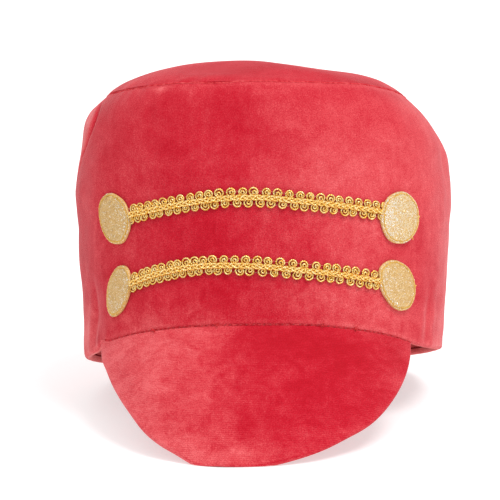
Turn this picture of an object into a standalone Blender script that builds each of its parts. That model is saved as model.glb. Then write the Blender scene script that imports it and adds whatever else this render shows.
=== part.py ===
"""Ringmaster hat: a red velvet cap with a soft peak, two gold braids and four gold discs.

The hat is worked out in its own frame, in millimetres. X points to the right as seen from the front, the front
faces -Y, Z runs up the crown, and the rim's plane is z = 0. An angle of 0 degrees is the centre front, and +90 is
the +X side. The hat then leans back until it rests on its back rim and on the edge of its peak.
"""
import math
from collections import namedtuple

import bpy
import numpy as np

MM = 0.001

Section = namedtuple("Section", "height shift half_width front back")
Level = namedtuple("Level", "angle height")
Fold = namedtuple("Fold", "angle height angle_spread height_spread push")
Patch = namedtuple("Patch", "name angle height half_width half_height lean")

# Cloth and seams
WALL = 3.0
SEAM_GAP = 0.3

# Crown band: level sections of its outer face, from below the rim to above the ring seam
CROWN_SECTIONS = [
    Section(-8.0, 0.0, 88.3, 93.0, 93.0),
    Section(4.0, 0.1, 88.6, 93.5, 93.5),
    Section(25.0, 0.5, 90.0, 94.5, 95.0),
    Section(49.0, 0.5, 91.7, 95.5, 96.5),
    Section(65.0, 0.3, 92.5, 96.0, 97.5),
    Section(78.0, 0.0, 93.0, 96.0, 98.0),
    Section(90.0, 0.0, 91.8, 95.5, 97.5),
    Section(101.0, -0.4, 90.5, 94.0, 95.5),
    Section(109.0, -1.8, 87.9, 92.5, 93.0),
    Section(117.0, -2.8, 83.0, 90.0, 89.0),
    Section(123.0, -3.2, 77.6, 86.0, 84.5),
    Section(129.0, -3.0, 70.8, 80.0, 79.0),
]
SQUARENESS = 2.25

# Lower edge of the band, arched up over the peak
RIM_LEVELS = [
    Level(-180.0, 0.0),
    Level(-150.0, -1.2),
    Level(-130.0, -3.6),
    Level(-100.0, -4.2),
    Level(-78.0, -4.0),
    Level(-66.0, -3.2),
    Level(-60.0, -2.3),
    Level(-55.0, 0.1),
    Level(-45.0, 3.0),
    Level(-22.0, 7.0),
    Level(0.0, 8.0),
    Level(18.0, 7.8),
    Level(44.0, 3.8),
    Level(58.0, 0.2),
    Level(70.0, -0.4),
    Level(90.0, 1.0),
    Level(110.0, 1.0),
    Level(140.0, 0.2),
    Level(180.0, 0.0),
]

# Ring seam between the band and the top, a little lower in front
RING_HEIGHT = 126.0
RING_DROP = 2.6

# Creases and bulges of the cloth: how far the wall is pushed out, and over what spread
FOLDS = [
    Fold(-84.0, 112.0, 7.0, 15.0, -2.5),
    Fold(-104.0, 110.0, 12.0, 16.0, 3.0),
    Fold(84.0, 98.0, 7.0, 20.0, -2.0),
    Fold(104.0, 96.0, 12.0, 20.0, 2.5),
    Fold(-59.0, 18.0, 8.0, 18.0, -2.0),
    Fold(-33.0, 24.0, 10.0, 18.0, 0.8),
    Fold(-152.0, 88.0, 14.0, 26.0, -1.8),
    Fold(150.0, 62.0, 16.0, 34.0, -1.5),
    Fold(178.0, 34.0, 16.0, 24.0, 0.9),
]

# Puffed top, leaning towards -X
DOME_RISE = 17.0
DOME_LEAN = 0.0026
DOME_SQUARENESS = 2.2
DOME_ROUNDNESS = 0.75

# Peak: a bent sheet whose slope below the rim's plane grows from the seam to the edge
PEAK_HALF_ANGLE = 53.5
PEAK_LENGTH = 77.4
PEAK_CORNER = 4.6
PEAK_TIP_ANGLE = -7.0
PEAK_START_SLOPE = 50.0
PEAK_END_SLOPE = 72.0
PEAK_LEFT_OUTLINE = (1.72, 0.9)
PEAK_RIGHT_OUTLINE = (2.05, 0.6)
PEAK_THICKNESS = 4.2
PEAK_EDGE_THICKNESS = 2.8
PEAK_EDGE_ROUND = 1.1

# Gimp braid: centre lines on the wall, width, and the pitch of its loops
UPPER_BRAID = [
    Level(-37.0, 61.1),
    Level(-28.0, 62.9),
    Level(-18.0, 65.1),
    Level(-8.0, 66.8),
    Level(2.0, 67.2),
    Level(14.0, 65.5),
    Level(26.0, 63.7),
    Level(38.0, 62.0),
]
LOWER_BRAID = [
    Level(-37.0, 28.4),
    Level(-28.0, 32.2),
    Level(-18.0, 34.9),
    Level(0.0, 35.2),
    Level(12.0, 33.5),
    Level(24.0, 31.7),
    Level(38.0, 29.1),
]
UPPER_BRAID_ENDS = (-36.25, 36.9)
LOWER_BRAID_ENDS = (-36.5, 36.9)
BRAID_WIDTH = 9.4
BRAID_LOOPS = 26
BRAID_SCALLOP = 0.8
BRAID_EDGE_THICKNESS = 0.9
BRAID_RIB_THICKNESS = 1.8

# Glitter discs over the braid ends
PATCHES = [
    Patch("patch_upper_left", -43.0, 60.2, 10.7, 12.4, -2.3),
    Patch("patch_lower_left", -42.15, 25.5, 8.3, 12.1, 3.0),
    Patch("patch_upper_right", 44.7, 60.0, 12.6, 12.5, 1.4),
    Patch("patch_lower_right", 44.75, 27.8, 12.0, 11.8, -3.7),
]
PATCH_THICKNESS = 1.2
PATCH_CROWN = 0.5

# Rest on the floor: the lean back and the place of the rim's centre, with the cloth that gives pressed flat
LEAN_BACK = 15.05
RIM_PLACE = (-0.24, 11.7, 22.94)

# Resolution of the solids
BAND_COLUMNS = 72
BAND_ROWS = 15
BAND_INNER_ROWS = 10
TOP_ROWS = 8
TOP_INNER_ROWS = 5
PEAK_COLUMNS = 38
PEAK_ROWS = 9
BRAID_STEPS_PER_LOOP = 6
PATCH_POINTS = 22

RED_VELVET = ("red_velvet", (0.62, 0.035, 0.05, 1.0), 0.85, 0.0)
GOLD_BRAID = ("gold_braid", (0.78, 0.52, 0.18, 1.0), 0.35, 0.8)
GOLD_GLITTER = ("gold_glitter", (0.80, 0.66, 0.40, 1.0), 0.4, 0.5)


def smooth_rows(rows, at):
    """Values of a table's other columns at the given places of its first column, along a smooth curve."""
    table = np.array(rows)
    x, y = table[:, 0], table[:, 1:]
    at = np.clip(np.asarray(at, float), x[0], x[-1])
    slope = np.gradient(y, x, axis=0)
    i = np.clip(np.searchsorted(x, at, side="right") - 1, 0, len(x) - 2)
    span = (x[i + 1] - x[i])[..., None]
    t = (at - x[i])[..., None] / span
    start = (2 * t**3 - 3 * t**2 + 1) * y[i] + (t**3 - 2 * t**2 + t) * span * slope[i]
    end = (3 * t**2 - 2 * t**3) * y[i + 1] + (t**3 - t**2) * span * slope[i + 1]
    return start + end


def wall(angle, height):
    """Outer face of the band: a rounded oval at each height, pushed in and out by the folds."""
    angle, height = np.broadcast_arrays(np.asarray(angle, float), np.asarray(height, float))
    shift, half_width, front, back = np.moveaxis(smooth_rows(CROWN_SECTIONS, height), -1, 0)
    sine, cosine = np.sin(np.radians(angle)), np.cos(np.radians(angle))
    depth = np.where(cosine > 0, front, back)
    radius = (np.abs(sine / half_width)**SQUARENESS + np.abs(cosine / depth)**SQUARENESS)**(-1 / SQUARENESS)
    for fold in FOLDS:
        turn = (angle - fold.angle + 180) % 360 - 180
        reach = (turn / fold.angle_spread)**2 + ((height - fold.height) / fold.height_spread)**2
        radius = radius + fold.push * np.exp(-reach)
    return np.stack([shift + radius * sine, -radius * cosine, height], -1)


def rim_height(angle):
    """Height of the band's lower edge."""
    return smooth_rows(RIM_LEVELS, angle)[..., 0]


def ring_height(angle):
    """Height of the seam between the band and the top."""
    return RING_HEIGHT - RING_DROP * np.cos(np.radians(angle))


def band_face(angle, rise):
    """Outer face of the band, with rise 0 at the rim and 1 at the ring seam."""
    low, high = rim_height(angle), ring_height(angle)
    return wall(angle, low + rise * (high - low))


def top_face(angle, rise):
    """Outer face of the puffed top, with rise 0 at the ring seam and 1 at its middle."""
    angle, rise = np.broadcast_arrays(np.asarray(angle, float), np.asarray(rise, float))
    seam = wall(angle, ring_height(angle) + SEAM_GAP)
    middle = np.array([CROWN_SECTIONS[-1].shift, 0.0, RING_HEIGHT + SEAM_GAP])
    points = seam + (middle - seam) * rise[..., None]
    puff = DOME_RISE * (1 - (1 - rise)**DOME_SQUARENESS)**DOME_ROUNDNESS
    points[..., 2] += puff * (1 - DOME_LEAN * points[..., 0])
    return points


def peak_length(angle):
    """Length of the peak's cloth below the seam: full at its tip, short at its corners."""
    beside = np.clip(angle, -PEAK_HALF_ANGLE, PEAK_HALF_ANGLE) - PEAK_TIP_ANGLE
    left_share = np.maximum(-beside, 0) / (PEAK_HALF_ANGLE + PEAK_TIP_ANGLE)
    right_share = np.maximum(beside, 0) / (PEAK_HALF_ANGLE - PEAK_TIP_ANGLE)
    left = (1 - left_share**PEAK_LEFT_OUTLINE[0])**PEAK_LEFT_OUTLINE[1]
    right = (1 - right_share**PEAK_RIGHT_OUTLINE[0])**PEAK_RIGHT_OUTLINE[1]
    return PEAK_CORNER + (PEAK_LENGTH - PEAK_CORNER) * left * right


def peak_face(angle, rise):
    """Outer face of the peak, with rise 0 at its free edge and 1 at the seam."""
    angle, rise = np.broadcast_arrays(np.asarray(angle, float), np.asarray(rise, float))
    start, end = math.radians(PEAK_START_SLOPE), math.radians(PEAK_END_SLOPE)
    bend = (end - start) / PEAK_LENGTH
    slope = start + bend * peak_length(angle) * (1 - rise)
    points = wall(angle, rim_height(angle))
    points[..., 1] -= (np.sin(slope) - math.sin(start)) / bend
    points[..., 2] -= SEAM_GAP + (math.cos(start) - np.cos(slope)) / bend
    return points


def outward(face, angle, rise):
    """Unit normals of a face, from the cross product of its steps along angle and rise."""
    step = 1e-3
    along = face(angle + step, rise) - face(angle - step, rise)
    up = face(angle, rise + step) - face(angle, rise - step)
    normal = np.cross(along, up)
    return normal / np.linalg.norm(normal, axis=-1, keepdims=True)


def rest_on_floor(points):
    """Points in the hat's frame, with what would sink below the floor pressed flat onto it."""
    lean = math.radians(LEAN_BACK)
    up = np.array([0.0, -math.sin(lean), math.cos(lean)])
    above = points @ up + RIM_PLACE[2]
    return points + np.maximum(-above, 0.0)[..., None] * up


def grid_faces(rows, columns, first, rows_close):
    """Quads between the points of a grid whose columns close round, numbered row by row."""
    faces = []
    for row in range(rows if rows_close else rows - 1):
        for column in range(columns):
            beside = (column + 1) % columns
            above = (row + 1) % rows
            faces.append((first + row * columns + column, first + row * columns + beside,
                          first + above * columns + beside, first + above * columns + column))
    return faces


def ring_solid(rows):
    """Points and quads of a hollow wall: its rows run up the outer face and down the inner one."""
    points = np.concatenate(rows)
    return points, grid_faces(len(rows), len(rows[0]), 0, True)


def capped_solid(rows, first, last):
    """Points and faces of a closed skin of rows that starts at one middle point and ends at another."""
    columns = len(rows[0])
    points = np.concatenate([*rows, first[None], last[None]])
    start, end = len(points) - 2, len(points) - 1
    faces = grid_faces(len(rows), columns, 0, False)
    top_row = (len(rows) - 1) * columns
    for column in range(columns):
        beside = (column + 1) % columns
        faces.append((start, beside, column))
        faces.append((end, top_row + column, top_row + beside))
    return points, faces


def make_material(name, colour, roughness, metallic):
    """Plain surface with the piece's colour."""
    material = bpy.data.materials.new(name)
    material.use_nodes = True
    shader = material.node_tree.nodes["Principled BSDF"]
    shader.inputs["Base Color"].default_value = colour
    shader.inputs["Roughness"].default_value = roughness
    shader.inputs["Metallic"].default_value = metallic
    return material


def add_node(name, solid, material, hat):
    """Object of one piece, in the hat's frame, resting with the hat."""
    points, faces = solid
    mesh = bpy.data.meshes.new(name)
    mesh.from_pydata((rest_on_floor(points) * MM).tolist(), [], faces)
    mesh.materials.append(material)
    mesh.shade_smooth()
    mesh.set_sharp_from_angle(angle=math.radians(40))
    node = bpy.data.objects.new(name, mesh)
    node.parent = hat
    bpy.context.scene.collection.objects.link(node)
    return node


def crown_band():
    """Wall of the band: its outer face, and its inner face one wall further in."""
    angle = np.linspace(-180.0, 180.0, BAND_COLUMNS, endpoint=False)
    rows = [band_face(angle, rise) for rise in np.linspace(0, 1, BAND_ROWS)]
    for rise in np.linspace(1, 0, BAND_INNER_ROWS):
        rows.append(band_face(angle, rise) - WALL * outward(band_face, angle, rise))
    return ring_solid(rows)


def crown_top():
    """Puffed shell of the top, open below, from the middle of its outer face to that of its inner face."""
    angle = np.linspace(-180.0, 180.0, BAND_COLUMNS, endpoint=False)
    edge = ring_height(angle) + SEAM_GAP
    middle = top_face(0.0, 1.0)
    inner_rises = 1 - np.linspace(0.2, 1, TOP_INNER_ROWS)[:-1]**0.6
    outer_rises = 1 - np.linspace(1, 0.12, TOP_ROWS)**0.6
    rows = [top_face(angle, rise) - WALL * outward(top_face, angle, rise) for rise in inner_rises]
    rows.append(wall(angle, edge) - WALL * outward(wall, angle, edge))
    rows.extend(top_face(angle, rise) for rise in outer_rises)
    return capped_solid(rows, middle - np.array([0.0, 0.0, WALL]), middle)


def peak():
    """Padded sheet of the peak: closed loops round its thickness, carried from corner to corner."""
    turn = np.linspace(-90.0, 90.0, PEAK_COLUMNS)
    angle = PEAK_HALF_ANGLE * np.sin(np.radians(turn)) * 0.9999
    rises = np.linspace(0, 1, PEAK_ROWS)
    rim = wall(angle, rim_height(angle))
    lining = rim - WALL * outward(wall, angle, rim_height(angle)) - np.array([0.0, 0.0, SEAM_GAP])
    loop = [peak_face(angle, rise) for rise in rises]
    loop.append(lining)
    for rise in rises[-2::-1]:
        thickness = PEAK_EDGE_THICKNESS + (PEAK_THICKNESS - PEAK_EDGE_THICKNESS) * math.sqrt(rise)
        loop.append(peak_face(angle, rise) - thickness * outward(peak_face, angle, rise))
    edge_run = loop[0] - loop[1]
    edge_run /= np.linalg.norm(edge_run, axis=-1, keepdims=True)
    loop.append((loop[0] + loop[-1]) / 2 + PEAK_EDGE_ROUND * edge_run)
    columns = np.stack(loop, axis=1)
    return capped_solid(list(columns[::-1]), columns[-1].mean(axis=0), columns[0].mean(axis=0))


def on_wall(angle, height, lift):
    """Points held off the wall's outer face by a lift."""
    return wall(angle, height) + np.asarray(lift)[..., None] * outward(wall, angle, height)


def braid(levels, ends):
    """Strip of looped braid: scalloped edges with a raised rib between them."""
    steps = BRAID_LOOPS * BRAID_STEPS_PER_LOOP + 1
    angle = np.linspace(*ends, steps)
    middle = smooth_rows(levels, angle)[..., 0]
    wave = np.cos(np.linspace(0, 2 * math.pi * BRAID_LOOPS, steps))
    half = BRAID_WIDTH / 2
    upper = middle + half - BRAID_SCALLOP * (0.5 - 0.5 * wave)
    lower = middle - half + BRAID_SCALLOP * (0.5 + 0.5 * wave)
    base = np.full(steps, SEAM_GAP)
    edge = base + BRAID_EDGE_THICKNESS
    rib = base + BRAID_RIB_THICKNESS
    loop = [on_wall(angle, lower, base), on_wall(angle, lower, edge), on_wall(angle, middle, rib),
            on_wall(angle, upper, edge), on_wall(angle, upper, base)]
    columns = np.stack(loop, axis=1)
    return capped_solid(list(columns[::-1]), columns[-1].mean(axis=0), columns[0].mean(axis=0))


def patch(place):
    """Padded disc on the wall: a leaning oval with a rounded edge and a low crown."""
    turn = np.linspace(0, 2 * math.pi, PATCH_POINTS, endpoint=False)
    degrees_per_mm = 1 / (math.radians(1) * np.linalg.norm(wall(place.angle, place.height)[:2]))

    def ring(share, lift):
        across = share * (place.half_width * np.cos(turn) + place.lean * np.sin(turn))
        up = share * place.half_height * np.sin(turn)
        return on_wall(place.angle + across * degrees_per_mm, place.height + up, np.full(turn.shape, lift))

    top = SEAM_GAP + PATCH_THICKNESS
    rows = [ring(0.5, SEAM_GAP), ring(1.0, SEAM_GAP), ring(1.0, top - 0.4), ring(0.96, top),
            ring(0.5, top + 0.7 * PATCH_CROWN)]
    centre = [on_wall(place.angle, place.height, lift) for lift in (SEAM_GAP, top + PATCH_CROWN)]
    return capped_solid(rows, centre[0], centre[1])


def build_hat():
    """Every piece of the hat, under one empty that leans it back onto the floor."""
    for item in list(bpy.data.objects):
        bpy.data.objects.remove(item, do_unlink=True)
    velvet = make_material(*RED_VELVET)
    gold_braid = make_material(*GOLD_BRAID)
    glitter = make_material(*GOLD_GLITTER)
    hat = bpy.data.objects.new("hat_at_rest", None)
    hat.location = [value * MM for value in RIM_PLACE]
    hat.rotation_euler = (-math.radians(LEAN_BACK), 0.0, 0.0)
    bpy.context.scene.collection.objects.link(hat)
    add_node("crown_band", crown_band(), velvet, hat)
    add_node("crown_top", crown_top(), velvet, hat)
    add_node("peak", peak(), velvet, hat)
    add_node("braid_upper", braid(UPPER_BRAID, UPPER_BRAID_ENDS), gold_braid, hat)
    add_node("braid_lower", braid(LOWER_BRAID, LOWER_BRAID_ENDS), gold_braid, hat)
    for place in PATCHES:
        add_node(place.name, patch(place), glitter, hat)
    bpy.context.view_layer.update()


build_hat()
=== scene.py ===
"""Ringmaster hat: crushed red velvet cap with a padded peak, looped gold gimp braids and glitter cloth discs.

The hat is worked out in its own frame, in millimetres. X points to the right as seen from the front, the
front faces -Y, Z runs up the crown, and the rim's plane is z = 0. An angle of 0 degrees is the centre front,
and +90 is the +X side. at_rest() then leans it back onto the floor, in metres.
"""
import math
from collections import namedtuple

import bpy
import numpy as np
from mathutils import Matrix


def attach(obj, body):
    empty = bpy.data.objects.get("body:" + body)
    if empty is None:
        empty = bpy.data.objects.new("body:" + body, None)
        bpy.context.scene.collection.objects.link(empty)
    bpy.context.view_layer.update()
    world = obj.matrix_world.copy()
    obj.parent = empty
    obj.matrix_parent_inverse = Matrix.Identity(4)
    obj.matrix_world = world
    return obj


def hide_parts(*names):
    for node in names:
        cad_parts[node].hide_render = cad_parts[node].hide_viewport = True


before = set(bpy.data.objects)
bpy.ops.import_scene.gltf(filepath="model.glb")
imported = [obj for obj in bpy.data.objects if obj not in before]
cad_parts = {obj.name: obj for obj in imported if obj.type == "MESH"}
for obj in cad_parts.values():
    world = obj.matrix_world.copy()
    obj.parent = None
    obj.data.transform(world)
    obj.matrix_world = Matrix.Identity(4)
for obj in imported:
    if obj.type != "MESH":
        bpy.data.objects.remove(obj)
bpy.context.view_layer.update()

MM = 0.001

Braid = namedtuple("Braid", "name node middle ends first_loop pitches seed")
Patch = namedtuple("Patch", "name angle height half_width half_height lean stitch_side paleness")

# The shape of the hat, as in the solids. A table of hills has rows of degrees round, millimetres up, how far
# the hill spreads both ways, and its size. Most other tables have rows of degrees and of a height or a value.
WALL = 3.0
SEAM_GAP = 0.3

# The crown's ovals: height, shift to the right, half width, and depths in front and behind. The top is
# shifted with the last one.
CROWN_SECTIONS = [
    (-8, 0, 88.3, 93, 93), (4, 0.1, 88.6, 93.5, 93.5), (25, 0.5, 90, 94.5, 95), (49, 0.5, 91.7, 95.5, 96.5),
    (65, 0.3, 92.5, 96, 97.5), (78, 0, 93, 96, 98), (90, 0, 91.8, 95.5, 97.5), (101, -0.4, 90.5, 94, 95.5),
    (109, -1.8, 87.9, 92.5, 93), (117, -2.8, 83, 90, 89), (123, -3.2, 77.6, 86, 84.5),
    (129, -3, 70.8, 80, 79)]
TOP_SHIFT = CROWN_SECTIONS[-1][1]
SQUARENESS = 2.25

RIM_LEVELS = [
    (-180, 0), (-150, -1.2), (-130, -3.6), (-100, -4.2), (-78, -4), (-66, -3.2), (-60, -2.3), (-55, 0.1),
    (-45, 3), (-22, 7), (0, 8), (18, 7.8), (44, 3.8), (58, 0.2), (70, -0.4), (90, 1), (110, 1), (140, 0.2),
    (180, 0)]
RING_HEIGHT = 126.0
RING_DROP = 2.6
FOLDS = [
    (-84, 112, 7, 15, -2.5), (-104, 110, 12, 16, 3), (84, 98, 7, 20, -2), (104, 96, 12, 20, 2.5),
    (-59, 18, 8, 18, -2), (-33, 24, 10, 18, 0.8), (-152, 88, 14, 26, -1.8), (150, 62, 16, 34, -1.5),
    (178, 34, 16, 24, 0.9)]

DOME_RISE = 17.0
DOME_LEAN = 0.0026
DOME_SQUARENESS = 2.2
DOME_ROUNDNESS = 0.75

PEAK_HALF_ANGLE = 53.5
PEAK_LENGTH = 77.4
PEAK_CORNER = 4.6
PEAK_TIP_ANGLE = -7.0
PEAK_START_SLOPE = 50.0
PEAK_END_SLOPE = 72.0
PEAK_LEFT_OUTLINE = (1.72, 0.9)
PEAK_RIGHT_OUTLINE = (2.05, 0.6)
PEAK_THICKNESS = 4.2
PEAK_EDGE_THICKNESS = 2.8

# The braids: the middle line, the ends under the discs and the upper row's first loop, all by degrees, the
# loops' pitch at shares of the length, and a seed
BRAIDS = [
    Braid("gimp_upper", "braid_upper",
          [(-37, 61.1), (-28, 62.9), (-18, 65.1), (-8, 66.8), (2, 67.2), (14, 65.5), (26, 63.7), (38, 62)],
          (-37.4, 38.6), -35.2,
          [(0, 4.55), (0.12, 4.4), (0.28, 4.55), (0.38, 5.3), (0.56, 5.5), (0.66, 4.85), (1, 4.75)], 5),
    Braid("gimp_lower", "braid_lower",
          [(-37, 28.4), (-28, 32.2), (-18, 34.9), (0, 35.2), (12, 33.5), (24, 31.7), (38, 29.1)],
          (-38.2, 38.6), -34.9,
          [(0, 4.05), (0.18, 3.95), (0.3, 4.4), (0.38, 4.9), (0.5, 5.5), (0.64, 5.6), (0.76, 5), (1, 4.75)],
          6)]

# Discs: degrees round, millimetres up, half width and height, lean, stitches' shift, and painted light, how
# much paler and more sparkling their flakes are painted
PATCHES = [
    Patch("upper_left", -43.0, 60.2, 10.7, 12.4, -2.3, -0.5, 0.35),
    Patch("lower_left", -42.15, 25.5, 8.3, 12.1, 3.0, 0.3, 0.35),
    Patch("upper_right", 44.7, 60.0, 12.6, 12.5, 1.4, 0.4, 0.85),
    Patch("lower_right", 44.75, 27.8, 12.0, 11.8, -3.7, 0.2, 0.38),
]
PATCH_THICKNESS = 1.2
PATCH_CROWN = 0.5

LEAN_BACK = 15.05
RIM_PLACE = (-0.24, 11.7, 22.94)

# How the photograph was taken, in the hat's frame: degrees round and up, and pixels of a 500 by 500 frame
VIEW_AZIMUTH = 4.0
VIEW_ELEVATION = -4.8
VIEW_DISTANCE = 1500.0
VIEW_AIM = (0.0, 0.0, 50.0)
VIEW_AIM_PIXEL = (263.5, 251.5)
VIEW_FOCAL_PIXELS = 3000.0
FRAME_PIXELS = 500.0
SENSOR = 36.0

# Paleness of the band round the hat, and hills for the strokes and pressed places on it: partly the pile's
# own nap and partly painted sheen, highlight and shade where light falls on it
BAND_NAP_AND_SHEEN = [
    (-180, 0.42), (-150, 0.3), (-115, 0.5), (-75, 0.31), (-58, 0.31), (-38, 0.26), (-20, 0.12), (-2, 0.1),
    (8, 0.31), (24, 0.52), (40, 0.61), (62, 0.62), (85, 0.56), (120, 0.38), (150, 0.5), (180, 0.42)]
BAND_MARKS = [
    (-28, 121.5, 2.2, 1.6, 0.7), (-16.5, 118.5, 1.2, 3, 0.36), (2, 122.5, 12, 1.2, 0.22),
    (-7, 86, 5, 5, 0.12), (-35, 82, 7, 12, 0.08), (-45, 100, 9, 16, -0.04), (8, 107, 5, 9, 0.12),
    (21, 118, 16, 6, -0.14), (14, 97, 6, 5, -0.02), (44, 108, 9, 6, -0.04), (28, 78, 13, 11, 0.07),
    # The hill at -54.9 degrees, 3.5 mm up, is a painted shadow beside the peak's left corner
    (-54.9, 3.5, 1, 4.5, -0.6), (-12, 48, 10, 10, -0.1), (5, 50, 5, 9, 0.08), (16, 45, 5, 8, -0.14),
    (27, 50, 7, 9, 0.06), (54, 56, 3, 7, -0.14), (-8, 25, 5, 5, -0.1), (24, 18, 16, 8, 0.11),
    (-15, 11, 16, 6, 0.18), (6, 10, 9, 6, -0.08), (-48, 22, 5, 12, 0.03), (56, 26, 5, 12, -0.1),
    (74, 50, 10, 60, 0.05), (66, 33, 11, 20, -0.32), (72, 92, 8, 14, -0.12), (-71, 50, 9, 22, -0.22),
    (-87, 8, 13, 9, 0.22), (10, 75, 14, 6.5, 0.32), (-56, 117, 9, 8, -0.56), (-32, 9, 5.5, 4.5, 0.36),
    (-1, 57, 3.5, 5, 0.3), (3, 119, 9, 4, 0.22), (-13, 100, 4, 15, 0.12), (12, 104, 8, 9, 0.1),
    (-20, 84, 16, 4, 0.1), (28, 12, 18, 7, -0.05), (44, 121, 16, 4, -0.3), (43, 15, 5, 5, 0.28),
    (-10, 74, 5, 4, 0.18), (-31, 71, 5, 4, 0.26), (-21, 121, 9, 2.5, 0.22), (44, 45, 6, 7, -0.22),
    (-67, 8, 9, 12, 0.72), (54, 3, 9, 6, -0.16), (55, 52, 5, 8, -0.18), (56, 24, 6, 12, -0.18),
    (42, 98, 7, 7, 0.14), (12, 29, 9, 5, -0.14), (30, 28, 9, 7, 0.14), (2, 88, 5, 6, 0.14),
    (28, 84, 7, 7, 0.12), (-37, 54, 4, 5, 0.14), (5, 62, 3, 5, 0.2), (18, 88, 5, 8, 0.18),
    (-62, 46, 8, 16, -0.2)]

# Paleness of the peak from side to side, and its hills, which are placed by millimetres down from the seam:
# partly the pile's own nap and partly painted sheen, pale on the left and deep on the right
PEAK_NAP_AND_SHEEN = [
    (-54, 0.82), (-40, 0.74), (-24, 0.66), (-13, 0.52), (-7, 0.4), (-2.5, 0.2), (6, 0.14), (20, 0.04),
    (36, 0.08), (54, 0.12)]
PEAK_MARKS = [
    (-38, 16, 3, 8, -0.14), (-28, 30, 8, 8, 0.06), (-20, 12, 9, 7, 0.06), (-17.6, 48, 2.5, 5, -0.18),
    (-27, 52, 7, 8, -0.08), (-12, 63, 5, 6, -0.06), (-9, 45, 5, 10, 0.1), (-2, 68, 4, 4, 0.26),
    (-9, 73, 11, 5, 0.28), (-3, 22, 4, 8, 0.1), (-1, 33, 5, 8, 0.08), (12, 52, 8, 6, -0.06),
    (22, 42, 9, 9, -0.06), (24, 13, 10, 8, -0.06), (12, 27, 6, 6, 0.06), (9, 68, 6, 2.5, -0.1),
    (14, 60, 8, 3, 0.12), (30, 60, 9, 6, 0.14), (46, 32, 6, 14, 0.1), (49, 5, 3, 8, 0.12),
    (15, 10, 26, 11, -0.16), (-8, 50, 3.5, 9, -0.14), (-21, 66, 9, 6, 0.24), (9, 71, 14, 8, 0.34),
    (-25, 56, 6, 5, 0.16), (8, 22, 24, 15, -0.1), (-16, 43, 4, 7, 0.18), (-31, 47, 5, 5, 0.14),
    (-19, 60, 3, 5, -0.16), (-6, 36, 5, 10, -0.1), (25, 16, 10, 8, -0.12)]

# Dents and swells of the band's cloth in millimetres, and where the crease down its left shoulder runs:
# height and degrees
BAND_DENTS = [
    (-59, 14, 1.5, 13, -1.1), (-63.5, 12, 2.2, 14, 0.8), (62, 12, 1.8, 12, -0.8), (67, 10, 2.2, 12, 0.5),
    (79, 90, 2.2, 12, -0.9), (-80, 115, 9, 6, 1.2), (-76, 98, 8, 5, -0.6), (-30, 108, 1.6, 9, -0.35),
    (-13, 106, 1.4, 8, -0.3)]
SIDE_CREASE = [
    (60, -84), (80, -79), (90, -72), (96, -66.5), (101, -62), (107.5, -58.5), (115, -59), (124, -66)]


def curve(t, start, start_way, end, end_way):
    """Cubic curve from start at t = 0 to end at t = 1, that leaves and arrives by the two ways."""
    return ((2 * t**3 - 3 * t**2 + 1) * start + (t**3 - 2 * t**2 + t) * start_way
            + (3 * t**2 - 2 * t**3) * end + (t**3 - t**2) * end_way)


def smooth_rows(rows, at):
    """A table's other columns at places of its first: a cubic curve between rows, with their mean slopes."""
    table = np.array(rows, float)
    x, y = table[:, 0], table[:, 1:]
    at = np.clip(np.asarray(at, float), x[0], x[-1])
    slope = np.gradient(y, x, axis=0)
    i = np.clip(np.searchsorted(x, at, side="right") - 1, 0, len(x) - 2)
    span = (x[i + 1] - x[i])[..., None]
    return curve((at - x[i])[..., None] / span, y[i], span * slope[i], y[i + 1], span * slope[i + 1])


def turned(angle, about):
    """Degrees from one angle to another, the short way round."""
    return (angle - about + 180) % 360 - 180


def bell(value, wide, about=0.0):
    """Soft bump of height 1: exp(-((value - about) / wide)^2)."""
    return np.exp(-((value - about) / wide)**2)


def full_turn(count):
    """Even steps of one full turn."""
    return np.linspace(0, 2 * math.pi, count, endpoint=False)


def paired(first, second):
    """Two arrays of numbers, each stretched to the shape of both."""
    return np.broadcast_arrays(np.asarray(first, float), np.asarray(second, float))


def hills(rows, angle, height):
    """Sum of soft hills: each one's size times a bell of the turn and a bell of the rise from its middle."""
    angle, height = paired(angle, height)
    total = np.zeros(angle.shape)
    for about, level, wide, tall, size in rows:
        total += size * bell(turned(angle, about), wide) * bell(height, tall, level)
    return total


def wall(angle, height):
    """Outer face of the band, pushed in and out by the folds.

    At each height it is an oval: (across / half width)^n + (along / depth)^n = 1, where n is the squareness.
    """
    angle, height = paired(angle, height)
    shift, half_width, front, back = np.moveaxis(smooth_rows(CROWN_SECTIONS, height), -1, 0)
    sine, cosine = np.sin(np.radians(angle)), np.cos(np.radians(angle))
    depth = np.where(cosine > 0, front, back)
    radius = (np.abs(sine / half_width)**SQUARENESS + np.abs(cosine / depth)**SQUARENESS)**(-1 / SQUARENESS)
    radius += hills(FOLDS, angle, height)
    return np.stack([shift + radius * sine, -radius * cosine, height], -1)


def rim_height(angle):
    """Height of the band's lower edge."""
    return smooth_rows(RIM_LEVELS, angle)[..., 0]


def ring_height(angle):
    """Height of the seam between the band and the top."""
    return RING_HEIGHT - RING_DROP * np.cos(np.radians(angle))


def top_face(angle, rise):
    """Outer face of the puffed top, with rise 0 at the ring seam and 1 at its middle.

    It runs straight in to the middle, and is puffed up by height * (1 - (1 - rise)^n)^m.
    """
    angle, rise = paired(angle, rise)
    seam = wall(angle, ring_height(angle) + SEAM_GAP)
    middle = np.array([TOP_SHIFT, 0.0, RING_HEIGHT + SEAM_GAP])
    points = seam + (middle - seam) * rise[..., None]
    puff = DOME_RISE * (1 - (1 - rise)**DOME_SQUARENESS)**DOME_ROUNDNESS
    points[..., 2] += puff * (1 - DOME_LEAN * points[..., 0])
    return points


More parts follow.
